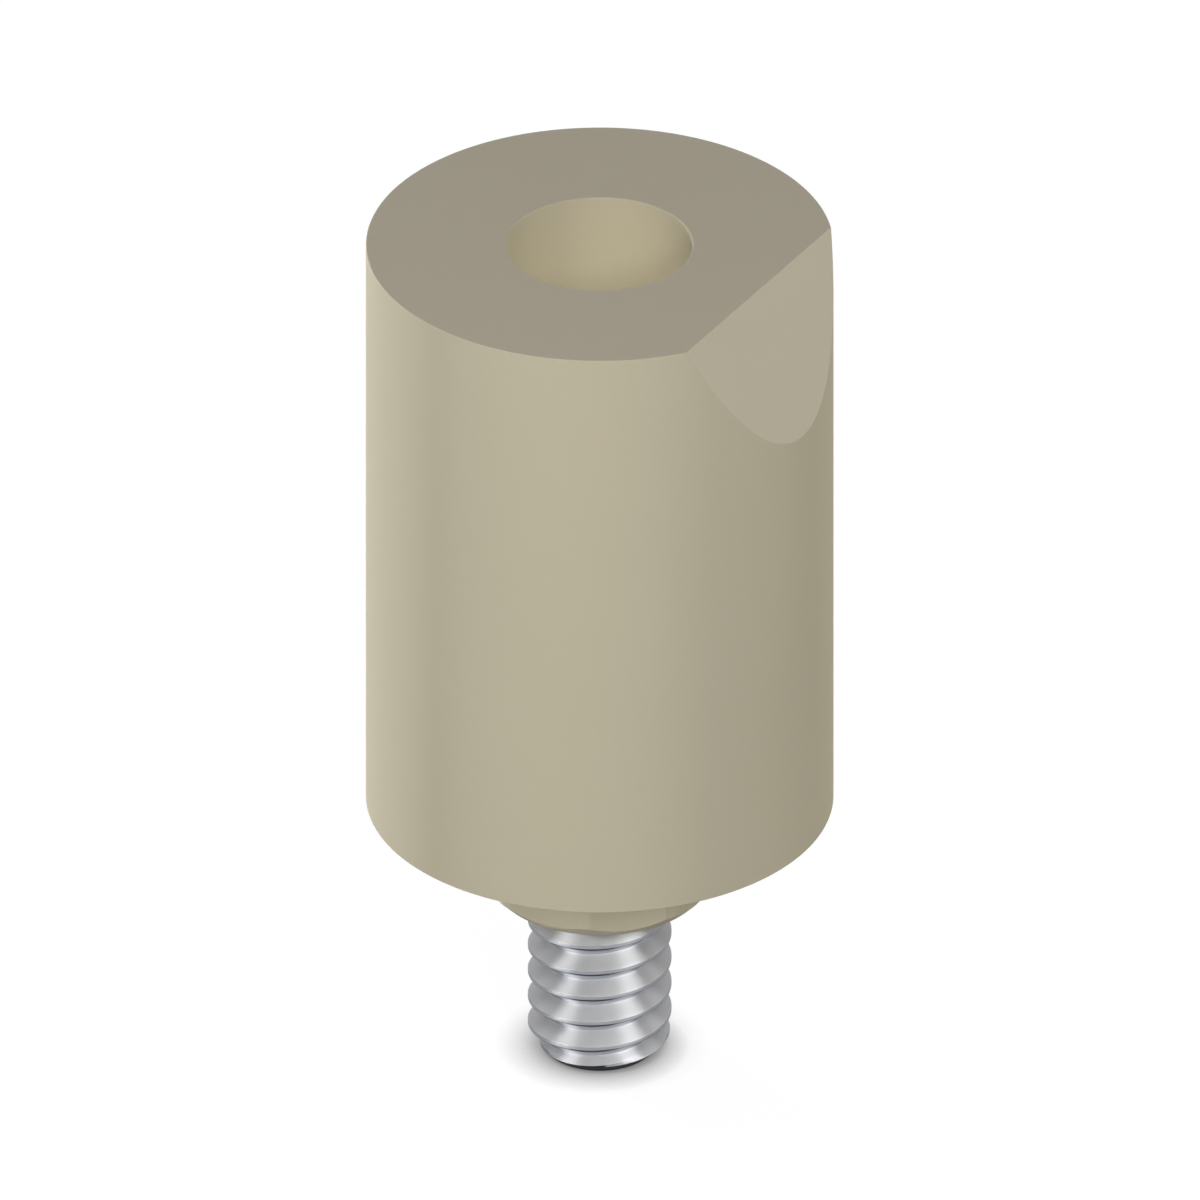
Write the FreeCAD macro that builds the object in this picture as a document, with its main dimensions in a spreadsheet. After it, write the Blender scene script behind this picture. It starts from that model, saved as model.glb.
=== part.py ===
"""Dental scan body: a turned plastic marker that screws onto an implant.

Millimetres. The origin is on the axis at the plane of the underside, where the
body seats, and +Z runs up the axis. The scan flat faces +X.
"""

import FreeCAD, Part
import os
import Sketcher

# Driving dimensions: alias, value in millimetres (or a count or a share), meaning
SIZES = (
    ("body_diameter", 6.4, "outside of the cylinder"),
    ("body_length", 8.72, "underside to top face"),
    ("scan_flat_inset", 0.69, "how far the flat cuts in from the wall at the top face"),
    ("scan_flat_depth", 2.12, "how far down the wall the flat runs out"),
    ("neck_across_flats", 3.05, "octagon that keys into the implant"),
    ("neck_sides", 8, "flats on the neck"),
    ("neck_corner_height", 0.09, "turned corner's height over the flats"),
    ("neck_length", 1.38, "underside to the neck's lower end"),
    ("neck_chamfer", 0.19, "45 degree chamfer at the neck's lower end"),
    ("seat_height", 1.2, "underside up to the step that the screw's head clamps"),
    ("seat_ledge", 0.25, "width of that step, round the hole in the neck"),
    ("head_clearance", 0.05, "gap round the screw's head"),
    ("head_height", 1.9, "screw's head"),
    ("head_chamfer", 0.1, "edge of the head"),
    ("socket_across_flats", 1.25, "hex socket for the driver"),
    ("socket_depth", 1.2, "flats of the socket"),
    ("socket_point", 0.3, "drill point below the flats"),
    ("socket_lead_in", 0.05, "countersink past the socket's corners"),
    ("screw_length", 5.11, "under the head to the tip"),
    ("thread_diameter", 1.97, "crests of the thread"),
    ("thread_clearance", 0.04, "gap round the thread in the neck"),
    ("thread_pitch", 0.4, "one turn"),
    ("thread_length", 3.1, "threaded end, from the tip"),
    ("thread_depth_share", 0.6134, "depth of the groove as a share of the pitch"),
    ("thread_crest_share", 0.125, "width of the crest as a share of the pitch"),
    ("thread_root_share", 0.16667, "width of the root as a share of the pitch"),
    ("thread_lead_in", 0.456, "how far below the tip the groove starts"),
    ("tip_chamfer", 0.235, "45 degree chamfer at the tip"),
    ("shank_relief", 0.015, "how far the plain shank stands below the thread's root"),
    ("cutter_margin", 0.02, "how far the cutting profiles reach outside the metal"),
)

# Sizes that follow from others, as expressions on the sheet; angles are in degrees
BODY_RADIUS = "sizes.body_diameter / 2"
NECK_APOTHEM = "sizes.neck_across_flats / 2"
NECK_RADIUS = f"({NECK_APOTHEM} + sizes.neck_corner_height)"
THREAD_RADIUS = "sizes.thread_diameter / 2"
NECK_HOLE_RADIUS = f"({THREAD_RADIUS} + sizes.thread_clearance)"
CHANNEL_RADIUS = f"({NECK_HOLE_RADIUS} + sizes.seat_ledge)"
HEAD_RADIUS = f"({CHANNEL_RADIUS} - sizes.head_clearance)"
THREAD_DEPTH = "sizes.thread_pitch * sizes.thread_depth_share"
ROOT_RADIUS = f"({THREAD_RADIUS} - {THREAD_DEPTH})"
SHANK_RADIUS = f"({ROOT_RADIUS} - sizes.shank_relief)"
THREAD_TOP = "(sizes.thread_length - sizes.screw_length)"
HEX_SECTOR = 60
HEX_CORNERS = range(HEX_SECTOR // 2, 360, HEX_SECTOR)
SOCKET_CORNER_RADIUS = f"sizes.socket_across_flats / 2 / cos({HEX_SECTOR} / 2)"

doc = FreeCAD.newDocument("scan_body")


def make_sheet():
    """Put the driving dimensions in a spreadsheet, one named cell each."""
    sheet = doc.addObject("Spreadsheet::Sheet", "sizes")
    for row, (alias, value, meaning) in enumerate(SIZES, start=1):
        sheet.set(f"A{row}", alias)
        sheet.set(f"B{row}", str(value))
        sheet.set(f"C{row}", meaning)
        sheet.setAlias(f"B{row}", alias)
    doc.recompute()


def origin_feature(body, role):
    """Find a plane or an axis of the body's own origin."""
    return next(item for item in body.Origin.OriginFeatures if item.Role == role)


def make_sketch(body, name, plane, height="0"):
    """Attach a sketch to an origin plane of its body, at a height over it."""
    sketch = body.newObject("Sketcher::SketchObject", name)
    sketch.AttachmentSupport = [(origin_feature(body, plane), "")]
    sketch.MapMode = "FlatFace"
    sketch.setExpression("AttachmentOffset.Base.z", height)
    return sketch


def bind(sketch, constraint, expression):
    """Drive the newest constraint of a sketch by an expression."""
    index = sketch.addConstraint(constraint)
    sketch.setExpression(f"Constraints[{index}]", expression)


def draw_outline(sketch, corners):
    """Draw a closed outline whose corners are pairs of expressions."""
    sheet = doc.getObject("sizes")
    places = [
        FreeCAD.Vector(float(sheet.evalExpression(across)), float(sheet.evalExpression(up)), 0)
        for across, up in corners
    ]
    for start, end in zip(places, places[1:] + places[:1]):
        sketch.addGeometry(Part.LineSegment(start, end), False)
    for line, (across, up) in enumerate(corners):
        before = (line - 1) % len(corners)
        sketch.addConstraint(Sketcher.Constraint("Coincident", before, 2, line, 1))
        if across == "0":
            sketch.addConstraint(Sketcher.Constraint("PointOnObject", line, 1, -2))
        else:
            bind(sketch, Sketcher.Constraint("DistanceX", -1, 1, line, 1, places[line].x), across)
        if up == "0":
            sketch.addConstraint(Sketcher.Constraint("PointOnObject", line, 1, -1))
        else:
            bind(sketch, Sketcher.Constraint("DistanceY", -1, 1, line, 1, places[line].y), up)


def draw_circle(sketch, radius):
    """Draw a circle round the sketch's origin, its radius an expression."""
    start_radius = float(doc.getObject("sizes").evalExpression(radius))
    centre = FreeCAD.Vector(0, 0, 0)
    sketch.addGeometry(Part.Circle(centre, FreeCAD.Vector(0, 0, 1), start_radius), False)
    sketch.addConstraint(Sketcher.Constraint("Coincident", 0, 3, -1, 1))
    bind(sketch, Sketcher.Constraint("Radius", 0, start_radius), radius)


def turn(body, kind, name, corners):
    """Revolve an outline in the XZ plane round the body's axis."""
    sketch = make_sketch(body, f"{name}_outline", "XZ_Plane")
    draw_outline(sketch, corners)
    feature = body.newObject(kind, name)
    feature.Profile = sketch
    feature.ReferenceAxis = (sketch, ["V_Axis"])
    feature.Angle = 360
    return feature


def pocket_down(body, name, sketch, length=None):
    """Cut straight down from a level sketch, by a length or right through."""
    pocket = body.newObject("PartDesign::Pocket", name)
    pocket.Profile = sketch
    if length is None:
        pocket.Type = "ThroughAll"
    else:
        pocket.setExpression("Length", length)
    return pocket


def make_scan_body():
    """Turned plastic cylinder with a scan flat, a keyed neck and a stepped bore."""
    body = doc.addObject("PartDesign::Body", "scan_body")
    body.Label = "scan_body"
    turn(body, "PartDesign::Revolution", "turned_blank", (
        ("0", "-sizes.neck_length"),
        (f"{NECK_RADIUS} - sizes.neck_chamfer", "-sizes.neck_length"),
        (NECK_RADIUS, "sizes.neck_chamfer - sizes.neck_length"),
        (NECK_RADIUS, "0"),
        (BODY_RADIUS, "0"),
        (BODY_RADIUS, "sizes.body_length"),
        ("0", "sizes.body_length"),
    ))

    # Channel for the driver and the screw's head, down to the step that the head clamps
    channel = make_sketch(body, "channel_outline", "XY_Plane", "sizes.body_length")
    draw_circle(channel, CHANNEL_RADIUS)
    pocket_down(body, "driver_channel", channel, "sizes.body_length - sizes.seat_height")

    # Clearance hole for the thread, on through the neck
    neck_hole = make_sketch(body, "neck_hole_outline", "XY_Plane", "sizes.seat_height")
    draw_circle(neck_hole, NECK_HOLE_RADIUS)
    pocket_down(body, "neck_hole", neck_hole)

    # Scan flat, milled at a slant across one side of the top
    margin_rise = "sizes.cutter_margin * sizes.scan_flat_depth / sizes.scan_flat_inset"
    cutter_top = f"sizes.body_length + {margin_rise}"
    cutter_outside = f"{BODY_RADIUS} + sizes.cutter_margin"
    scan_flat = make_sketch(body, "scan_flat_outline", "XZ_Plane")
    draw_outline(scan_flat, (
        (f"{BODY_RADIUS} - sizes.scan_flat_inset - sizes.cutter_margin", cutter_top),
        (cutter_outside, f"sizes.body_length - sizes.scan_flat_depth - {margin_rise}"),
        (cutter_outside, cutter_top),
    ))
    flat_cut = body.newObject("PartDesign::Pocket", "scan_flat")
    flat_cut.Profile = scan_flat
    flat_cut.SideType = "Symmetric"
    flat_cut.setExpression("Length", "2 * sizes.body_diameter")

    # Neck flats, the first one square to the scan flat's direction
    flat = make_sketch(body, "neck_flat_outline", "XY_Plane")
    outside = f"{NECK_RADIUS} + sizes.cutter_margin"
    draw_outline(flat, (
        (NECK_APOTHEM, f"-({NECK_RADIUS})"),
        (outside, f"-({NECK_RADIUS})"),
        (outside, NECK_RADIUS),
        (NECK_APOTHEM, NECK_RADIUS),
    ))
    neck_flat = pocket_down(body, "neck_flat", flat)
    octagon = body.newObject("PartDesign::PolarPattern", "neck_octagon")
    octagon.Originals = [neck_flat]
    octagon.Axis = (flat, ["N_Axis"])
    octagon.Angle = 360
    octagon.setExpression("Occurrences", "sizes.neck_sides")
    body.Tip = octagon
    return body


def make_screw():
    """Titanium fixing screw; its own frame starts under the head."""
    body = doc.addObject("PartDesign::Body", "screw")
    body.Label = "screw"
    body.setExpression("Placement.Base.z", "sizes.seat_height")
    turn(body, "PartDesign::Revolution", "turned_screw", (
        ("0", "-sizes.screw_length"),
        (f"{THREAD_RADIUS} - sizes.tip_chamfer", "-sizes.screw_length"),
        (THREAD_RADIUS, "sizes.tip_chamfer - sizes.screw_length"),
        (THREAD_RADIUS, f"{THREAD_TOP} - {THREAD_DEPTH} - sizes.shank_relief"),
        (SHANK_RADIUS, THREAD_TOP),
        (SHANK_RADIUS, "0"),
        (HEAD_RADIUS, "0"),
        (HEAD_RADIUS, "sizes.head_height - sizes.head_chamfer"),
        (f"{HEAD_RADIUS} - sizes.head_chamfer", "sizes.head_height"),
        ("0", "sizes.head_height"),
    ))

    # Hex socket: countersink, flats and the drill point that they end on
    lead_in_radius = f"({SOCKET_CORNER_RADIUS} + sizes.socket_lead_in)"
    turn(body, "PartDesign::Groove", "socket_countersink", (
        ("0", "sizes.head_height"),
        ("0", f"sizes.head_height - {lead_in_radius}"),
        (lead_in_radius, "sizes.head_height"),
    ))
    socket = make_sketch(body, "socket_outline", "XY_Plane", "sizes.head_height")
    draw_outline(socket, tuple(
        (f"{SOCKET_CORNER_RADIUS} * cos({angle})", f"{SOCKET_CORNER_RADIUS} * sin({angle})")
        for angle in HEX_CORNERS
    ))
    pocket_down(body, "hex_socket", socket, "sizes.socket_depth")
    turn(body, "PartDesign::Groove", "socket_drill_point", (
        ("0", "sizes.head_height - sizes.socket_depth"),
        ("0", "sizes.head_height - sizes.socket_depth - sizes.socket_point"),
        ("sizes.socket_across_flats / 2", "sizes.head_height - sizes.socket_depth"),
    ))

    # Thread: one 60 degree groove, cut along a right-hand helix from below the tip
    groove_centre = "(-sizes.screw_length - sizes.thread_lead_in)"
    root_half = "sizes.thread_pitch * sizes.thread_root_share / 2"
    crest_half = "sizes.thread_pitch * (1 - sizes.thread_crest_share) / 2"
    flare = f"sizes.cutter_margin * ({crest_half} - {root_half}) / ({THREAD_DEPTH})"
    mouth_half = f"({crest_half} + {flare})"
    mouth_radius = f"({THREAD_RADIUS} + sizes.cutter_margin)"
    groove = make_sketch(body, "thread_groove_outline", "XZ_Plane")
    draw_outline(groove, (
        (ROOT_RADIUS, f"{groove_centre} - {root_half}"),
        (mouth_radius, f"{groove_centre} - {mouth_half}"),
        (mouth_radius, f"{groove_centre} + {mouth_half}"),
        (ROOT_RADIUS, f"{groove_centre} + {root_half}"),
    ))
    thread = body.newObject("PartDesign::SubtractiveHelix", "thread")
    thread.Profile = groove
    thread.ReferenceAxis = (groove, ["V_Axis"])
    thread.Mode = "pitch-height-angle"
    thread.setExpression("Pitch", "sizes.thread_pitch")
    thread.setExpression("Height", "sizes.thread_lead_in + sizes.thread_length + sizes.thread_pitch")
    thread.LeftHanded = False
    thread.Angle = 0
    return body


def check_document():
    """Stop if any object of the document failed."""
    for item in doc.Objects:
        if "Invalid" in item.State or "Error" in item.State:
            raise RuntimeError(f"{item.Name} failed: {item.State}")


def write_part(body):
    """Write one sub-part to its file, once its shape is known to be sound."""
    shape = body.Shape
    if shape.isNull() or not shape.isValid() or len(shape.Solids) != 1:
        raise RuntimeError(f"{body.Label} is not one sound solid")
    shape.exportStep(f"parts/{body.Label}.step")
    print(f"{body.Label}: {shape.Volume:.3f} mm3, {len(shape.Faces)} faces")


make_sheet()
sub_parts = (make_scan_body(), make_screw())
doc.recompute()
check_document()
os.makedirs("parts", exist_ok=True)
for sub_part in sub_parts:
    write_part(sub_part)
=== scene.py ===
# %% [markdown]
# # A dental scan body, dressed for its portrait
#
# The object is a plastic marker, 6.4 mm across, that screws onto a dental implant so that a scanner can
# find the implant's place and turn. It has two pieces: a beige cylinder with a slanted flat and an
# octagonal neck, and a titanium screw that runs down its axis.
#
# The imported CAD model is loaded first. It is the frame: it says where each piece is and which body moves
# it. Its meshes are coarse, with fewer than sixty facets round the cylinder. They could be subdivided, but
# that would round the true edges too, so this lesson builds a fine mesh for each piece in the same place
# and hides the coarse one.

# %% Load the frame
import math
import bmesh
import bpy
from mathutils import Matrix, Vector


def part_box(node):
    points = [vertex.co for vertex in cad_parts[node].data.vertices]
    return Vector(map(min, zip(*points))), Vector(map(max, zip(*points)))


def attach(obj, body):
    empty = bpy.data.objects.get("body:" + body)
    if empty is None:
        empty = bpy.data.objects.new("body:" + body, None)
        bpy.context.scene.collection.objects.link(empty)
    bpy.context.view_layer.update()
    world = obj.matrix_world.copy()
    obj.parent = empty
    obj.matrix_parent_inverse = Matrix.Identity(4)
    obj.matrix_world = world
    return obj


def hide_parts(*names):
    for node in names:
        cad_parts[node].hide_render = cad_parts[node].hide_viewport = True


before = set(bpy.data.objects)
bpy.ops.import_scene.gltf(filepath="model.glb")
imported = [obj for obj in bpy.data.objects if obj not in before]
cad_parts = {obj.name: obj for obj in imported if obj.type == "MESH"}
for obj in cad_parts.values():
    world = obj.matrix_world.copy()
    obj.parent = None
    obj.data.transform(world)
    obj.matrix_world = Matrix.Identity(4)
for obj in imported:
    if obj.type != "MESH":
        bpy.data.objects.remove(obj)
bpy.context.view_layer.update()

# %% [markdown]
# ## Sizes
#
# The outer sizes could be typed in again, but read from the frame they can't drift away from the CAD. The
# sizes of holes and edges, which a box doesn't tell, are given where each piece is made.
#
# Everything is worked out in millimetres, because the pieces are so small that an edge a hundredth of a
# millimetre wide would be lost in rounding if it were built in metres. A mesh is brought to metres once
# it is finished.

# %% Sizes that the frame gives
MM = 0.001
body_low, body_high = (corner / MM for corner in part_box("scan_body"))
screw_low, screw_high = (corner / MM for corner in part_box("screw"))
WALL_RADIUS = body_high.x
TOP = body_high.z
NECK_END = body_low.z
HEAD_RADIUS = screw_high.x
HEAD_TOP = screw_high.z
TIP = screw_low.z
print(f"wall radius {WALL_RADIUS:.3f} mm, top {TOP:.3f} mm, tip {TIP:.3f} mm")

# %% [markdown]
# ## Skins of revolution
#
# Both pieces are turned in a lathe, and the flats are milled afterwards. A profile could be spun and the
# flats cut with booleans, but booleans leave long thin faces that shade badly. Here each piece is a stack
# of rings, and every ring has a radius and a height at each angle. A flat is then just a ring whose radius
# dips, so the faces stay even and an edge lies exactly where two surfaces meet.

# %% Points on a ring
def place(radius, angle, height):
    """A point on a ring, from its angle in degrees."""
    turn = math.radians(angle)
    return Vector((radius * math.cos(turn), radius * math.sin(turn), height))


def size_at(size, angle):
    """A size that is either one number or a function of the angle."""
    return size(angle) if callable(size) else size


def ring(angles, radius, height):
    """Points at every angle."""
    return [place(size_at(radius, angle), angle, size_at(height, angle)) for angle in angles]


def snapped_columns(count, corners):
    """Even angles round the axis, the nearest ones moved onto corners that must stay crisp."""
    step = 360 / count
    angles = [column * step for column in range(count)]
    for corner in corners:
        angles[round(corner / step) % count] = corner % 360
    return angles


print("four columns, one moved onto a corner at 80 degrees:", snapped_columns(4, [80]))

# %% [markdown]
# Two neighbouring rings are joined by a band of quads. A thread is the odd case: its rings climb as they
# go round, so the last column has to meet the first one some rings further up. The ends of a solid screw
# are closed with a fan of triangles.

# %% Bands and caps
def stretch_skin(form, rings, closed=False, climb=0):
    """Join each ring to the next. On a thread, the last column meets the first one `climb` rings up."""
    rows = [[form.verts.new(point) for point in points] for points in rings]
    count = len(rows[0])
    last = len(rows) - 1

    def corner(row, column):
        if column < count:
            return rows[row % len(rows)][column]
        return rows[min(row + climb, last) if climb else row % len(rows)][0]

    for row in range(len(rows) if closed else last):
        for column in range(count):
            lower = (corner(row, column), corner(row, column + 1))
            upper = (corner(row + 1, column + 1), corner(row + 1, column))
            distinct = list(dict.fromkeys(lower + upper))
            if len(distinct) > 2:
                form.faces.new(distinct)


def cap(form, points, centre):
    """Close a ring with a fan of triangles round a point."""
    hub = form.verts.new(centre)
    rim = [form.verts.new(point) for point in points]
    for before, after in zip(rim, rim[1:] + rim[:1]):
        form.faces.new((before, after, hub))


# %% [markdown]
# The rings are joined in a loose form, which then has to become a piece. Welding it shut, turning its faces
# outwards and marking its sharp edges could be done by hand in edit mode, but both pieces need the same
# steps, so one function does them. It also counts the edges that don't join two faces, because a closed
# solid has none.

# %% From a form to a piece
WELD = 1e-4


def settle(form, name, sharp_angle):
    """Weld a form shut, turn its faces outwards, and put it in the scene."""
    bmesh.ops.remove_doubles(form, verts=form.verts, dist=WELD)
    bmesh.ops.recalc_face_normals(form, faces=form.faces)
    mesh = bpy.data.meshes.new(name)
    form.to_mesh(mesh)
    open_edges = sum(1 for edge in form.edges if len(edge.link_faces) != 2)
    form.free()
    mesh.shade_smooth()
    mesh.set_sharp_from_angle(angle=math.radians(sharp_angle))
    piece = bpy.data.objects.new(name, mesh)
    bpy.context.scene.collection.objects.link(piece)
    print(f"{name}: {len(mesh.polygons)} faces, {open_edges} open edges")
    return piece


def to_metres(piece):
    """Bring a finished mesh from millimetres to metres."""
    piece.data.transform(Matrix.Scale(MM, 4))


# %% [markdown]
# ## The plastic body
#
# The body is one piece of beige plastic: a cylinder, a channel for the driver and the screw's head, a
# narrower hole through the neck, and an octagon below that keys into the implant. Its corners are turned
# off. The scan flat is a plane that leans about 18 degrees from the axis, and it meets the wall along a
# curve.
#
# That curve could be cut with a boolean. The rings simply follow it: one lies on the rim of the top face,
# and the next lies where the flat has run out.

# %% Sizes of the body
CHANNEL_RADIUS = 1.275
NECK_HOLE_RADIUS = 1.025
SEAT = 1.2
FLAT_INSET = 0.69
FLAT_DEPTH = 2.12
FLAT_REACH = WALL_RADIUS - FLAT_INSET
FLAT_SLOPE = FLAT_DEPTH / FLAT_INSET
FLAT_HALF_ANGLE = math.degrees(math.acos(FLAT_REACH / WALL_RADIUS))
NECK_SIDES = 8
NECK_SECTOR = 360 / NECK_SIDES
NECK_APOTHEM = 1.525
NECK_TURNED_RADIUS = 1.615
NECK_FLAT_HALF_ANGLE = math.degrees(math.acos(NECK_APOTHEM / NECK_TURNED_RADIUS))
NECK_CHAMFER = 0.19
print(f"the scan flat leans {math.degrees(math.atan(1 / FLAT_SLOPE)):.1f} degrees from the axis")


# %% Outlines of the body at each angle
def rim_radius(angle):
    """Radius of the top face, where the flat cuts a chord off it."""
    across = math.cos(math.radians(angle))
    return FLAT_REACH / across if WALL_RADIUS * across > FLAT_REACH else WALL_RADIUS


def flat_foot(angle):
    """Height at which the flat runs out in the wall."""
    return TOP - FLAT_SLOPE * max(0, WALL_RADIUS * math.cos(math.radians(angle)) - FLAT_REACH)


def neck_radius(angle):
    """Radius of the octagon, whose corners are turned off."""
    from_flat = (angle + NECK_SECTOR / 2) % NECK_SECTOR - NECK_SECTOR / 2
    return min(NECK_TURNED_RADIUS, NECK_APOTHEM / math.cos(math.radians(from_flat)))


print(f"the flat's lowest point is {flat_foot(0):.2f} mm up")

# %% Rings of the body
BODY_COLUMNS = 240
body_corners = [FLAT_HALF_ANGLE, -FLAT_HALF_ANGLE] + [
    side * NECK_SECTOR + edge
    for side in range(NECK_SIDES)
    for edge in (-NECK_FLAT_HALF_ANGLE, NECK_FLAT_HALF_ANGLE)
]
body_angles = snapped_columns(BODY_COLUMNS, body_corners)
neck_end_radius = NECK_TURNED_RADIUS - NECK_CHAMFER
body_rings = [
    ring(body_angles, rim_radius, TOP),
    ring(body_angles, WALL_RADIUS, flat_foot),
    ring(body_angles, WALL_RADIUS, 0),
    ring(body_angles, neck_radius, 0),
    ring(body_angles, neck_radius, lambda angle: NECK_END + neck_radius(angle) - neck_end_radius),
    ring(body_angles, neck_end_radius, NECK_END),
    ring(body_angles, NECK_HOLE_RADIUS, NECK_END),
    ring(body_angles, NECK_HOLE_RADIUS, SEAT),
    ring(body_angles, CHANNEL_RADIUS, SEAT),
    ring(body_angles, CHANNEL_RADIUS, TOP),
]
body_form = bmesh.new()
stretch_skin(body_form, body_rings, closed=True)
scan_body = settle(body_form, "scan_body_skin", sharp_angle=10)

# %% [markdown]
# A real edge is never perfectly sharp: the cutter leaves a break of about a hundredth of a millimetre, and
# that is what catches a thin line of light. More rings could follow each edge, but the flat's curve and the
# octagon would each need their own. A Bevel modifier limited by angle finds every true edge by itself,
# because the columns turn by only a degree and a half.

# %% Edge breaks of the body
EDGE_BREAK = 0.012
EDGE_ANGLE = 15


def apply_modifiers(piece):
    """Replace a piece's mesh by what its modifiers make of it."""
    made = bpy.data.meshes.new_from_object(piece.evaluated_get(bpy.context.evaluated_depsgraph_get()))
    piece.modifiers.clear()
    piece.data = made


def break_edges(piece, width, smallest_angle):
    """Round every edge that turns by more than an angle."""
    bevel = piece.modifiers.new("edge_break", "BEVEL")
    bevel.width = width
    bevel.segments = 2
    bevel.limit_method = "ANGLE"
    bevel.angle_limit = math.radians(smallest_angle)
    bevel.use_clamp_overlap = False
    bevel.harden_normals = True
    apply_modifiers(piece)


break_edges(scan_body, EDGE_BREAK, EDGE_ANGLE)
to_metres(scan_body)
print("body faces after the edge breaks", len(scan_body.data.polygons))

# %% [markdown]
# ## The screw
#
# The fixing screw is turned too, and its thread is a single helical groove. It could be made with a Screw
# modifier, but the groove would then start and stop in mid-air instead of running out through the chamfered
# tip. So at every angle the metal's radius is the smaller of two things: the blank's outline, and the
# groove's outline, which climbs by one pitch for each turn. The groove starts below the tip, and how far
# below sets where round the screw the thread runs out.

# %% Outline of the thread
THREAD_RADIUS = 0.985
THREAD_PITCH = 0.4
DEPTH_PER_PITCH = 0.6134
THREAD_DEPTH = DEPTH_PER_PITCH * THREAD_PITCH
THREADED_LENGTH = 3.1
THREAD_TOP = TIP + THREADED_LENGTH
THREAD_START = 0.456
CREST_WIDTH = THREAD_PITCH / 8
ROOT_WIDTH = THREAD_PITCH / 6
ROOT_RADIUS = THREAD_RADIUS - THREAD_DEPTH
FLANK_SLOPE = THREAD_DEPTH / ((THREAD_PITCH - CREST_WIDTH - ROOT_WIDTH) / 2)
SHANK_RELIEF = 0.015
SHANK_RADIUS = ROOT_RADIUS - SHANK_RELIEF
TIP_CHAMFER = 0.235
ROUNDING = 0.006
ROOT_ROUNDING = 4 * ROUNDING


def softened(low, high, blend):
    """The smaller of two lengths, with the corner between them rounded."""
    gap = max(blend - abs(low - high), 0) / blend
    return min(low, high) - gap * gap * blend / 4


def blank_radius(height):
    """Outline of the threaded end before the thread is cut, with a chamfer at each end."""
    tip_cone = THREAD_RADIUS - TIP_CHAMFER + (height - TIP)
    top_cone = SHANK_RADIUS + (THREAD_TOP - height)
    return min(THREAD_RADIUS, tip_cone, top_cone)


def groove_radius(offset):
    """Outline of the groove, from how far up or down the screw its middle is."""
    flank = ROOT_RADIUS + FLANK_SLOPE * (abs(offset) - ROOT_WIDTH / 2)
    rounded_root = -softened(-ROOT_RADIUS, -flank, ROOT_ROUNDING)
    return softened(rounded_root, THREAD_RADIUS, ROUNDING)


print(f"root radius {ROOT_RADIUS:.3f} mm, crest radius {groove_radius(THREAD_PITCH / 2):.3f} mm")

# %% [markdown]
# The rings of the threaded end climb with the groove. Level rings would be simpler, but the crests and
# roots would cut across them in steps. Climbing rings make the crests and roots rows of the mesh, and they
# stay crisp all the way round. The rings lie close together at the corners and far apart on the flanks.

# %% Rings of the threaded end
SCREW_COLUMNS = 144
ROOT_SHARES = (0, 0.5, 0.8, 1, 1.2, 1.5)
FLANK_SHARES = (0.35, 0.6, 0.82, 0.94)
crest_middle = THREAD_PITCH / 2
groove_middle = TIP - THREAD_START


def half_groove_rows():
    """Offsets from the groove's middle to the crest's middle, close together at the corners."""
    root_edge = ROOT_WIDTH / 2
    crest_edge = (THREAD_PITCH - CREST_WIDTH) / 2
    rows = [root_edge * share for share in ROOT_SHARES]
    rows += [root_edge + (crest_edge - root_edge) * share for share in FLANK_SHARES]
    rows += [crest_edge - ROUNDING / 3, crest_edge, crest_edge + ROUNDING / 3, crest_edge + ROUNDING]
    return rows


def threaded_point(angle, start_height, row):
    """A point of the threaded end: the groove's own radius, held inside the blank."""
    climbed = start_height + THREAD_PITCH * angle / 360
    height = min(max(climbed, TIP), THREAD_TOP)
    from_groove = (height - groove_middle - THREAD_PITCH * angle / 360 + crest_middle) % THREAD_PITCH
    own_offset = row if height == climbed else from_groove - crest_middle
    return place(softened(groove_radius(own_offset), blank_radius(height), ROUNDING), angle, height)


upper_rows = half_groove_rows()
groove_rows = [-row for row in reversed(upper_rows[1:])] + upper_rows + [crest_middle]
turns = math.ceil((THREAD_TOP - groove_middle) / THREAD_PITCH) + 1
screw_angles = [column * 360 / SCREW_COLUMNS for column in range(SCREW_COLUMNS)]
thread_rings = [
    [threaded_point(angle, groove_middle + turn * THREAD_PITCH + row, row) for angle in screw_angles]
    for turn in range(turns)
    for row in groove_rows
]
print(f"{len(thread_rings)} rings on the thread, {len(groove_rows)} to a turn")

# %% [markdown]
# Above the thread come a plain shank and a head that clamps the body down. The head holds a hex socket for
# the driver. Its mouth is countersunk, so the cone meets the six walls in six small arcs, and the drill
# that came before the broach left a cone at the bottom. A hexagonal cutter could take the socket out, but
# a hexagon has one radius for each angle, so rings can follow all of it without a cut.

# %% Rings of the shank, the head and the socket
HEAD_CHAMFER = 0.1
SOCKET_APOTHEM = 0.625
SOCKET_DEPTH = 1.2
SOCKET_POINT = 0.3
SOCKET_LEAD_IN = 0.05
HEX_SECTOR = 60
socket_corner_radius = SOCKET_APOTHEM / math.cos(math.radians(HEX_SECTOR / 2))
lead_in_radius = socket_corner_radius + SOCKET_LEAD_IN
socket_floor = HEAD_TOP - SOCKET_DEPTH


def hex_radius(angle):
    """Radius of the socket's wall, with a corner thirty degrees from the first flat."""
    from_flat = (angle + HEX_SECTOR / 2) % HEX_SECTOR - HEX_SECTOR / 2
    return SOCKET_APOTHEM / math.cos(math.radians(from_flat))


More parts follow.
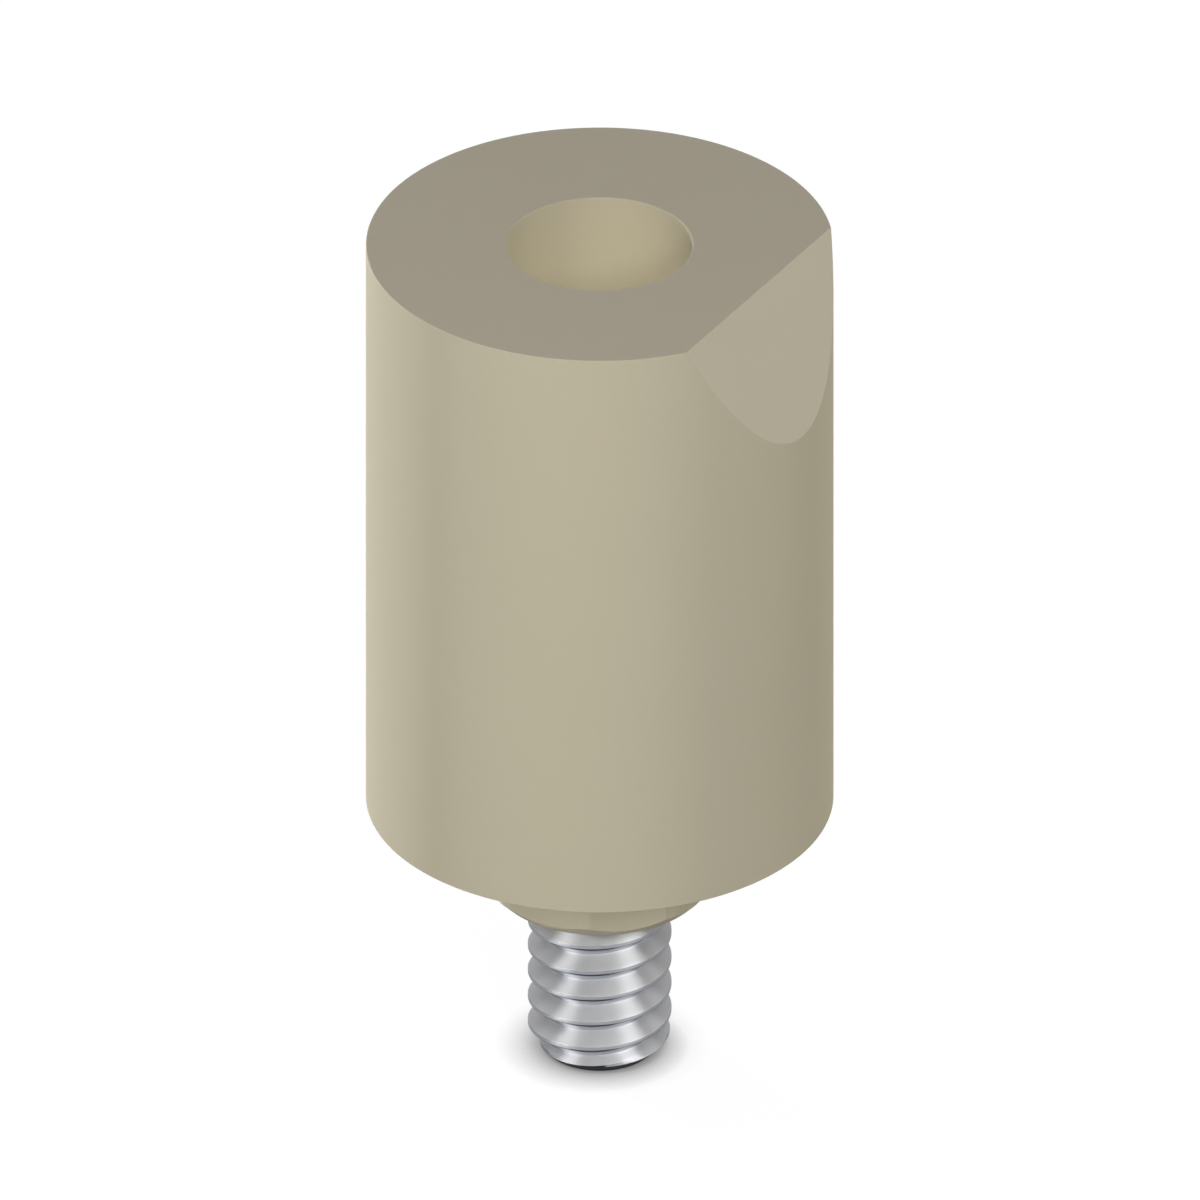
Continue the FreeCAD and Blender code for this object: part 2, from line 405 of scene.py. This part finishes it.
head_rings = [
    ring(screw_angles, SHANK_RADIUS, THREAD_TOP),
    ring(screw_angles, SHANK_RADIUS, SEAT),
    ring(screw_angles, HEAD_RADIUS, SEAT),
    ring(screw_angles, HEAD_RADIUS, HEAD_TOP - HEAD_CHAMFER),
    ring(screw_angles, HEAD_RADIUS - HEAD_CHAMFER, HEAD_TOP),
    ring(screw_angles, lead_in_radius, HEAD_TOP),
    ring(screw_angles, hex_radius, lambda angle: HEAD_TOP - (lead_in_radius - hex_radius(angle))),
    ring(screw_angles, hex_radius, socket_floor),
    ring(screw_angles, SOCKET_APOTHEM, socket_floor),
]
screw_form = bmesh.new()
cap(screw_form, thread_rings[0], Vector((0, 0, TIP)))
stretch_skin(screw_form, thread_rings, climb=len(groove_rows))
stretch_skin(screw_form, head_rings)
cap(screw_form, head_rings[-1], Vector((0, 0, socket_floor - SOCKET_POINT)))
screw = settle(screw_form, "screw_skin", sharp_angle=32)
to_metres(screw)

# %% [markdown]
# ## Finishes as expressions
#
# Every finish below is made of nodes. They could be wired one by one, but that hides the idea, so two small
# classes let a finish be written as a formula. A `Field` is a value that changes over the surface, and
# adding or multiplying fields adds the Math nodes. A `Finish` is a node tree in the making, of a material
# or of the room, with one method that adds any other node.

# %% A field that understands arithmetic
class Field:
    """A number or colour that varies, as the output socket of a node."""

    def __init__(self, finish, socket):
        self.finish = finish
        self.socket = socket

    def maths(self, operation, *values):
        return self.finish.node("ShaderNodeMath", {"operation": operation}, dict(enumerate(values)))

    def __add__(self, other):
        return self.maths("ADD", self, other)

    __radd__ = __add__

    def __sub__(self, other):
        return self.maths("SUBTRACT", self, other)

    def __rsub__(self, other):
        return self.maths("SUBTRACT", other, self)

    def __mul__(self, other):
        return self.maths("MULTIPLY", self, other)

    __rmul__ = __mul__

    def clamped(self):
        return self.maths("MINIMUM", self.maths("MAXIMUM", self, 0.0), 1.0)


# %% A finish in the making
class Finish:
    """The node tree of a material or a world, under construction."""

    def __init__(self, holder):
        self.holder = holder
        holder.use_nodes = True
        self.tree = holder.node_tree
        self.tree.nodes.clear()

    def node(self, kind, settings=None, inputs=None, output=0):
        """Add a node: its settings first, then the values or links of its sockets."""
        node = self.tree.nodes.new(kind)
        for name, value in (settings or {}).items():
            setattr(node, name, value)
        for name, value in (inputs or {}).items():
            if isinstance(value, Field):
                self.tree.links.new(value.socket, node.inputs[name])
            else:
                node.inputs[name].default_value = value
        return Field(self, node.outputs[output]) if node.outputs else None

    def mix(self, share, first, second):
        """Blend two colours by a field. A Mix node takes colours at inputs 6 and 7 and gives one at 2."""
        return self.node("ShaderNodeMix", {"data_type": "RGBA"}, {0: share, 6: first, 7: second}, output=2)

    def rays(self, *kinds):
        """For each kind of ray, a field: one where light arrives as that kind, nought elsewhere."""
        return [self.node("ShaderNodeLightPath", output=kind) for kind in kinds]

    def close(self, surface, output="ShaderNodeOutputMaterial"):
        """Wire the finished shader to the output."""
        self.node(output, inputs={"Surface": surface})
        print(f"{self.holder.name}: {len(self.tree.nodes)} nodes")
        return self.holder


def linear(red, green, blue):
    """A colour as it is seen, 0 to 255, brought to the linear light that shaders work in."""
    def straighten(level):
        share = level / 255
        return share / 12.92 if share <= 0.04045 else ((share + 0.055) / 1.055) ** 2.4

    return (straighten(red), straighten(green), straighten(blue), 1.0)


# %% [markdown]
# ## Turning marks
#
# A lathe leaves faint rings on everything it cuts, a few hundredths of a millimetre apart. Along a wall
# they follow the height, and on an end face they follow the distance from the axis. They could be modelled,
# but they are far too shallow to see as shape, so they go to a bump. Noise of the height alone, added to
# noise of the distance alone, gives both kinds, because on a wall the distance stays the same and on an end
# face the height does.

# %% Where a point lies, and the marks there
def point_in_mm(finish):
    """The point's own coordinates, which move with the piece."""
    metres = finish.node("ShaderNodeTexCoord", output="Object")
    return finish.node("ShaderNodeVectorMath", {"operation": "SCALE"}, {0: metres, "Scale": 1 / MM})


def height_and_distance(finish, point):
    """How high the point is and how far from the axis."""
    flat_point = finish.node("ShaderNodeVectorMath", {"operation": "MULTIPLY"}, {0: point, 1: (1, 1, 0)})
    distance = finish.node("ShaderNodeVectorMath", {"operation": "LENGTH"}, {0: flat_point}, output="Value")
    height = finish.node("ShaderNodeSeparateXYZ", inputs={0: point}, output="Z")
    return height, distance


def turning_marks(finish, point, per_mm):
    """Noise along the height plus noise along the distance from the axis."""
    height, distance = height_and_distance(finish, point)
    settings = {"noise_dimensions": "1D"}
    along = finish.node("ShaderNodeTexNoise", settings, {"W": height, "Scale": per_mm, "Detail": 3.0})
    across = finish.node("ShaderNodeTexNoise", settings, {"W": distance, "Scale": per_mm, "Detail": 3.0})
    return along + across


def noise(finish, point, per_mm, detail):
    """Soft noise through space, with about this many blobs to a millimetre."""
    return finish.node("ShaderNodeTexNoise", inputs={"Vector": point, "Scale": per_mm, "Detail": detail})


def bump(finish, marks, strength, depth):
    """The surface's normal, tilted by the marks as if they were this deep in metres."""
    return finish.node("ShaderNodeBump", inputs={"Strength": strength, "Distance": depth, "Height": marks})


# %% [markdown]
# ## The plastic
#
# The body is a matt, opaque beige plastic that scanners read without powder. One flat colour would do from
# a step away, but a bar of it has a slow cloudiness and a fine grain, each of a percent or two, and the
# grain makes the sheen uneven as well. Two noises of very different scale give them. The gloss is kept
# weak, because a scanned surface must not glare.
#
# The scan flat is milled after the turning, so it has no rings. It is also painted a shade paler than the
# wall, as painted light for the extra light that it catches as it leans upwards. It could be a second
# material on chosen faces, but the way that a face looks tells the flat apart without picking any: only
# there does the surface's normal agree with the flat's own.

# %% Beige plastic
CLOUD_PER_MM = 0.5
GRAIN_PER_MM = 40.0
CLOUD_SHARE = 0.6
PLASTIC_MARKS_PER_MM = 25.0
# The flat's beige is the wall's, painted a shade paler as painted light for the extra light it catches.
TURNED_BEIGE = (linear(187, 179, 156), linear(190, 183, 160))
FLAT_BEIGE_PAINTED_PALER = (linear(196, 188, 166), linear(199, 191, 170))
FLAT_AGREEMENT = 0.99
FLAT_EDGE = 0.005


def milled_and_painted_paler_share(finish):
    """One on the scan flat, nought elsewhere, by how nearly the surface faces the flat's way."""
    normal = finish.node("ShaderNodeTexCoord", output="Normal")
    towards_flat = Vector((FLAT_DEPTH, 0, FLAT_INSET)).normalized()
    agreement = finish.node("ShaderNodeVectorMath", {"operation": "DOT_PRODUCT"},
                            {0: normal, 1: towards_flat}, output="Value")
    return ((agreement - FLAT_AGREEMENT) * (1 / FLAT_EDGE)).clamped()


def plastic_finish():
    """Matt beige plastic, turned, with a milled flat whose paler tone is painted light."""
    finish = Finish(bpy.data.materials.new("peek_plastic"))
    point = point_in_mm(finish)
    cloud = noise(finish, point, CLOUD_PER_MM, detail=2.0)
    grain = noise(finish, point, GRAIN_PER_MM, detail=2.0)
    tone = (cloud * CLOUD_SHARE + grain * (1 - CLOUD_SHARE)).clamped()
    on_flat = milled_and_painted_paler_share(finish)
    marks = turning_marks(finish, point, PLASTIC_MARKS_PER_MM) * (1 - on_flat)
    surface = finish.node("ShaderNodeBsdfPrincipled", inputs={
        "Base Color": finish.mix(on_flat, finish.mix(tone, *TURNED_BEIGE), finish.mix(tone, *FLAT_BEIGE_PAINTED_PALER)),
        "Roughness": 0.72 + 0.06 * grain,
        "Specular IOR Level": 0.1,
        "Normal": bump(finish, marks, strength=0.12, depth=2e-6),
    })
    return finish.close(surface)


def dress(piece, material):
    """Give a piece its one material."""
    piece.data.materials.clear()
    piece.data.materials.append(material)


dress(scan_body, plastic_finish())

# %% [markdown]
# ## The titanium
#
# The screw is turned titanium, and it shows two things that plain shiny metal doesn't.
#
# The colour is painted light and shade by which way a face looks: the faces that look up, the upper flanks,
# get a painted highlight, the crests and roots a darker painted middle tone, and the faces that look down
# painted shade. That could be painted by height, but the height of the surface's normal tells the three
# apart on every turn at once.
#
# The tool's rings also stretch every highlight. Light spreads across them, which is along the screw, and
# stays narrow round it. A fine bump could give that, but only with far more samples, so the shader's own
# one-way gloss does it, turned by a quarter because it starts along the rings.

# %% Turned titanium
SMUDGE_PER_MM = 3.0
TITANIUM_MARKS_PER_MM = 60.0
# Three painted tones of one metal, by which way a face looks: a middle tone for faces that look sideways, a
# painted highlight for faces that look up, painted shade for faces that look down.
PAINTED_MIDTONE_METAL = (linear(150, 152, 158), linear(164, 166, 171))
PAINTED_HIGHLIGHT_METAL = (linear(234, 235, 238), linear(242, 242, 244))
PAINTED_SHADE_METAL = linear(52, 54, 58)
HIGHLIGHT_ABOVE = 0.55
HIGHLIGHT_GAIN = 4.0
SHADE_BELOW = -0.02
SHADE_GAIN = 6.0


def titanium_finish():
    """Turned titanium: painted highlight on faces that look up, painted shade on faces that look down, a
    painted middle tone elsewhere.
    """
    finish = Finish(bpy.data.materials.new("turned_titanium"))
    point = point_in_mm(finish)
    marks = turning_marks(finish, point, TITANIUM_MARKS_PER_MM)
    smudge = noise(finish, point, SMUDGE_PER_MM, detail=3.0)
    normal = finish.node("ShaderNodeTexCoord", output="Normal")
    facing_up = finish.node("ShaderNodeSeparateXYZ", inputs={0: normal}, output="Z")
    # Painted highlight where the face looks up, painted shade where it looks down.
    painted_highlight_share = ((facing_up - HIGHLIGHT_ABOVE) * HIGHLIGHT_GAIN).clamped()
    painted_shade_share = ((SHADE_BELOW - facing_up) * SHADE_GAIN).clamped()
    midtone_and_shade = finish.mix(painted_shade_share, finish.mix(smudge, *PAINTED_MIDTONE_METAL), PAINTED_SHADE_METAL)
    surface = finish.node("ShaderNodeBsdfPrincipled", inputs={
        "Base Color": finish.mix(painted_highlight_share, midtone_and_shade, finish.mix(smudge, *PAINTED_HIGHLIGHT_METAL)),
        "Metallic": 1.0,
        "Roughness": 0.44 + 0.06 * smudge,
        "Anisotropic": 0.9,
        "Anisotropic Rotation": 0.25,
        "Normal": bump(finish, marks, strength=0.15, depth=1e-6),
    })
    return finish.close(surface)


dress(screw, titanium_finish())

# %% [markdown]
# ## Tying the pieces to the frame
#
# Each fine mesh stands for one CAD node. It could be keyframed to follow it, but riding on that node's body
# is enough: when the screw is turned in the poses, its mesh turns with it.

# %% Ride and replace
for piece, node, slot in ((scan_body, "scan_body", "peek"), (screw, "screw", "titanium")):
    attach(piece, node)
    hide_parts(node)
    print(f"{piece.name} stands for {node}")

# %% [markdown]
# ## Camera
#
# The picture is a plain product view, drawn without perspective from thirty degrees above. A long lens far
# away would come close, but an orthographic camera is exact. Its scale is the width of the picture in
# millimetres, which follows from the cylinder: 6.4 mm is 467.7 pixels of 1200.

# %% Camera
PICTURE_WIDTH_PX = 1200
CYLINDER_WIDTH_PX = 467.7
AXIS_X_PX = 599.68
TOP_CENTRE_Y_PX = 244.1
CAMERA_AZIMUTH = math.radians(30)
CAMERA_ELEVATION = math.radians(30)
CAMERA_DISTANCE = 0.08
NEAREST_SEEN = 0.0008

px_per_mm = CYLINDER_WIDTH_PX / (2 * WALL_RADIUS)
back = Vector((
    math.sin(CAMERA_AZIMUTH) * math.cos(CAMERA_ELEVATION),
    -math.cos(CAMERA_AZIMUTH) * math.cos(CAMERA_ELEVATION),
    math.sin(CAMERA_ELEVATION),
))
right = Vector((math.cos(CAMERA_AZIMUTH), math.sin(CAMERA_AZIMUTH), 0))
up = back.cross(right)
aside = (PICTURE_WIDTH_PX / 2 - AXIS_X_PX) / px_per_mm
below = (PICTURE_WIDTH_PX / 2 - TOP_CENTRE_Y_PX) / px_per_mm
aim = Vector((0, 0, TOP)) + right * aside - up * below

camera_data = bpy.data.cameras.new("camera")
camera_data.type = "ORTHO"
camera_data.ortho_scale = PICTURE_WIDTH_PX / px_per_mm * MM
camera_data.clip_start = NEAREST_SEEN
camera = bpy.data.objects.new("camera", camera_data)
camera.location = aim * MM + back * CAMERA_DISTANCE
camera.rotation_euler = (-back).to_track_quat("-Z", "Y").to_euler()
bpy.context.scene.collection.objects.link(camera)
bpy.context.scene.camera = camera
print(f"{px_per_mm:.2f} pixels to a millimetre, picture {camera_data.ortho_scale / MM:.2f} mm wide")

# %% [markdown]
# ## Floor
#
# The floor lies level with the screw's tip, a plain pale sheet. Under light this soft it would look grey,
# and more light on it would burn out the plastic. So the camera and the reflections see most of it as a
# glow that brings the open floor to white, while the light that bounces off it sees only the sheet. What
# is left of the sheet in the mix keeps the object's shadow, and the glow itself is darkened by ambient
# occlusion in the corner under the tip, a painted contact shadow.

# %% Floor
FLOOR_HALF_WIDTH = 0.6
FLOOR_GREY = 0.45
FLOOR_GLOW = 1.3
GLOW_SHARE = 0.7
CONTACT_REACH = 0.0006


def floor_finish():
    """Pale floor, mixed with a glow that only the camera and reflections see."""
    finish = Finish(bpy.data.materials.new("pale_floor"))
    camera_ray, glossy_ray, passed_ray = finish.rays("Is Camera Ray", "Is Glossy Ray", "Is Transmission Ray")
    seen = (camera_ray + glossy_ray + passed_ray).clamped()
    sheet = finish.node("ShaderNodeBsdfDiffuse", inputs={"Color": (FLOOR_GREY, FLOOR_GREY, FLOOR_GREY, 1)})
    # Ambient occlusion darkens the glow near the tip: a painted contact shadow.
    contact_shadow_tone = finish.node("ShaderNodeAmbientOcclusion", {"samples": 8}, {"Distance": CONTACT_REACH})
    glow = finish.node("ShaderNodeEmission", inputs={"Color": contact_shadow_tone, "Strength": FLOOR_GLOW})
    return finish.close(finish.node("ShaderNodeMixShader", inputs={0: seen * GLOW_SHARE, 1: sheet, 2: glow}))


floor_mesh = bpy.data.meshes.new("floor")
floor_corners = [
    (x * FLOOR_HALF_WIDTH, y * FLOOR_HALF_WIDTH, TIP * MM)
    for x, y in ((-1, -1), (1, -1), (1, 1), (-1, 1))
]
floor_mesh.from_pydata(floor_corners, [], [(0, 1, 2, 3)])
floor_mesh.materials.append(floor_finish())
floor = bpy.data.objects.new("floor", floor_mesh)
bpy.context.scene.collection.objects.link(floor)
print(f"floor {2 * FLOOR_HALF_WIDTH:.1f} m wide, {-TIP:.2f} mm below the cylinder's underside")

# %% [markdown]
# ## Room
#
# The walls and ceiling of a studio light an object from everywhere at once. They could be built as large
# white planes, but a world is the same thing without any mesh. This one is dim at the horizon and brightens
# towards the ceiling. What the metal mirrors is brighter, as if pale screens stood round the table, and
# the camera sees plain white beyond the floor.

# %% Room
ROOM_LOW = 0.11
ROOM_RISE = 0.34
ROOM_TINT = (0.95, 0.93, 1.14, 1)
SCREEN_LEVEL = 0.25
WHITE = (1, 1, 1, 1)


def make_room():
    """A pale room that brightens towards the ceiling, white to the camera."""
    room = Finish(bpy.data.worlds.new("pale_room"))
    direction = room.node("ShaderNodeTexCoord", output="Generated")
    height = room.node("ShaderNodeSeparateXYZ", inputs={0: direction}, output="Z")
    camera_ray, glossy_ray = room.rays("Is Camera Ray", "Is Glossy Ray")
    light = ROOM_LOW + height * height * ROOM_RISE + glossy_ray * SCREEN_LEVEL
    background = room.node("ShaderNodeBackground", inputs={
        "Color": room.mix((camera_ray + glossy_ray).clamped(), ROOM_TINT, WHITE),
        "Strength": light * (1 - camera_ray) + camera_ray,
    })
    return room.close(background, "ShaderNodeOutputWorld")


bpy.context.scene.world = make_room()

# %% [markdown]
# ## Panels that light the plastic
#
# Four lamps shape the cylinder: two soft panels in front, the left one brighter, and two low strips behind.
# One big lamp in front would flatten it. The strips graze it from both sides, and they give it its bright
# left edge and the slow bands that show it is round. They barely touch the top face, which stays darker
# than the wall.
#
# The left panel and the right strip cast no shadow. With shadows, the driver's channel would be a black
# hole, and the neck would be lost in the shade of the cylinder above it. Without them both keep the shading
# of their own faces, as a retouched product picture has it. The metal has lamps of its own, so these are
# kept out of its reflections.

# %% Panels that light the plastic
LAMP_DISTANCE = 0.12
SOFT = 0.024
CREAM = (1, 1, 0.95)
YELLOW = (1, 1, 0.85)
COOL = (0.98, 1, 1.02)


def panel(name, side, rise, width, tall, power, tint=WHITE[:3]):
    """A panel facing the object, at angles to the camera's right and above level. Metres and watts."""
    turn = CAMERA_AZIMUTH - math.radians(90 - side)
    lift = math.radians(rise)
    towards = Vector((math.cos(turn) * math.cos(lift), math.sin(turn) * math.cos(lift), math.sin(lift)))
    data = bpy.data.lights.new(name, "AREA")
    data.shape = "RECTANGLE"
    data.size = width
    data.size_y = tall
    data.energy = power
    data.color = tint
    lamp = bpy.data.objects.new(name, data)
    lamp.location = Vector((0, 0, TOP / 2 * MM)) + towards * LAMP_DISTANCE
    lamp.rotation_euler = (-towards).to_track_quat("-Z", "Y").to_euler()
    bpy.context.scene.collection.objects.link(lamp)
    return lamp


left_panel = panel("left_panel", side=-24, rise=26, width=SOFT, tall=SOFT, power=0.0715, tint=CREAM)
right_panel = panel("right_panel", side=16, rise=31, width=SOFT, tall=SOFT, power=0.0355, tint=CREAM)
left_strip = panel("left_strip", side=-133, rise=3, width=0.01, tall=0.02, power=0.143, tint=COOL)
right_strip = panel("right_strip", side=117, rise=3, width=0.01, tall=0.02, power=0.055, tint=YELLOW)
plastic_panels = (left_panel, right_panel, left_strip, right_strip)
for lamp in (left_panel, right_strip):
    lamp.data.use_shadow = False
for lamp in plastic_panels:
    lamp.visible_glossy = False
print("plastic lit by", [lamp.name for lamp in plastic_panels])

# %% [markdown]
# ## Panels that the metal mirrors
#
# Metal has no shade of its own and shows only what stands around it. Lit by the lamps above, the thread
# would be black with a few sparks. A photographer puts white cards round a screw, and here they are panels
# that light nothing but reflections: a wide band in front for the flanks, small ones at the left and right
# where the flanks turn away, and two dim ones for the sides.

# %% Panels that the metal mirrors
metal_panels = (
    panel("front_band", side=10, rise=30, width=0.28, tall=0.03, power=0.133),
    panel("left_spark", side=-70, rise=5, width=0.03, tall=0.03, power=0.032),
    panel("left_fill", side=-55, rise=8, width=0.04, tall=0.04, power=0.044),
    panel("right_fill", side=50, rise=30, width=0.07, tall=0.03, power=0.040),
    panel("right_side", side=100, rise=30, width=0.06, tall=0.05, power=0.0085),
    panel("left_side", side=-110, rise=20, width=0.06, tall=0.05, power=0.0045),
)
for lamp in metal_panels:
    lamp.visible_diffuse = False
print("metal mirrors", [lamp.name for lamp in metal_panels])

# %% [markdown]
# ## View settings
#
# A film look could be laid over the picture, but then a colour would no longer come out as it is written,
# so the colours are shown as they are.

# %% Finish
bpy.context.scene.view_settings.view_transform = "Standard"
